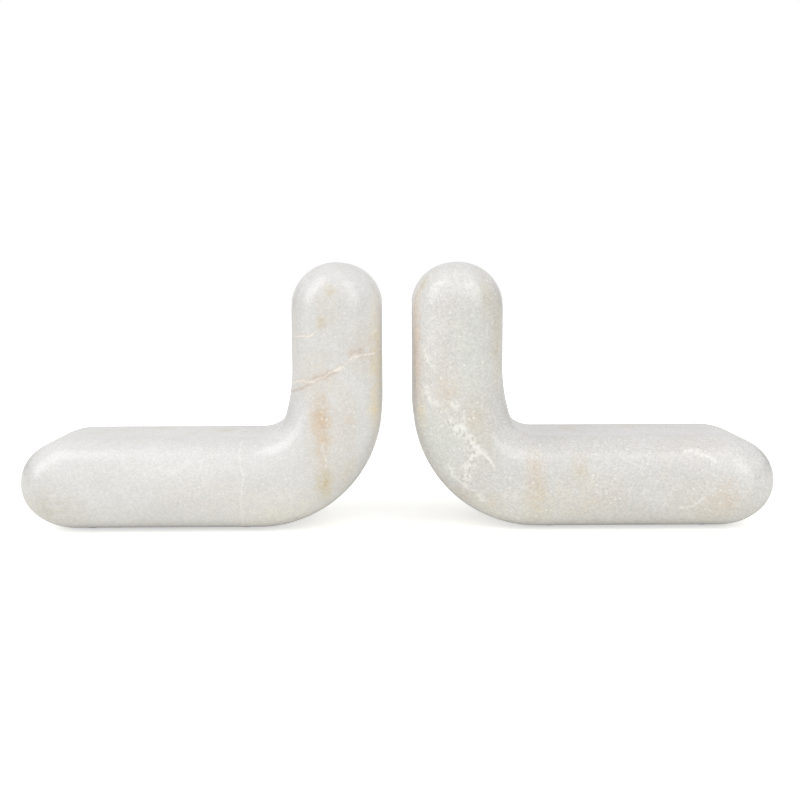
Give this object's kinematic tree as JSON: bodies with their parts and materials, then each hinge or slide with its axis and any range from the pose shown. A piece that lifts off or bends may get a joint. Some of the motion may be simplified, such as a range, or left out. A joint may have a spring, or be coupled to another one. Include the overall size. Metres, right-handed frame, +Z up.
{
  "type": "book ends",
  "caption": "Matching L-shaped book ends of polished white marble with fully rounded edges: an upright that books lean on and a long foot set on thin rubber pads.",
  "frame": {"origin": "on the resting plane of the pads, in the middle of the gap between the two book faces and half-way through the depth", "axes": "+X to the right along the shelf, from the left book end to the right one; +Y from the front to the back of the stones; +Z up"},
  "size_m": [0.371, 0.075, 0.1312],
  "materials": {
    "marble": "white marble with fine crystalline grain and a few ochre and white veins, polished to a soft gloss",
    "pad_rubber": "matte grey self-adhesive rubber"
  },
  "bodies": {
    "left_end": {"left_bookend": "marble", "left_heel_front_pad": "pad_rubber", "left_heel_back_pad": "pad_rubber", "left_toe_front_pad": "pad_rubber", "left_toe_back_pad": "pad_rubber"},
    "right_end": {"right_bookend": "marble", "right_heel_front_pad": "pad_rubber", "right_heel_back_pad": "pad_rubber", "right_toe_front_pad": "pad_rubber", "right_toe_back_pad": "pad_rubber"}
  },
  "joints": [
    {"name": "book_gap_slide", "type": "slide", "parent": "left_end", "child": "right_end", "axis": [1, 0, 0], "range_m": [-0.0145, 0.3]}
  ]
}
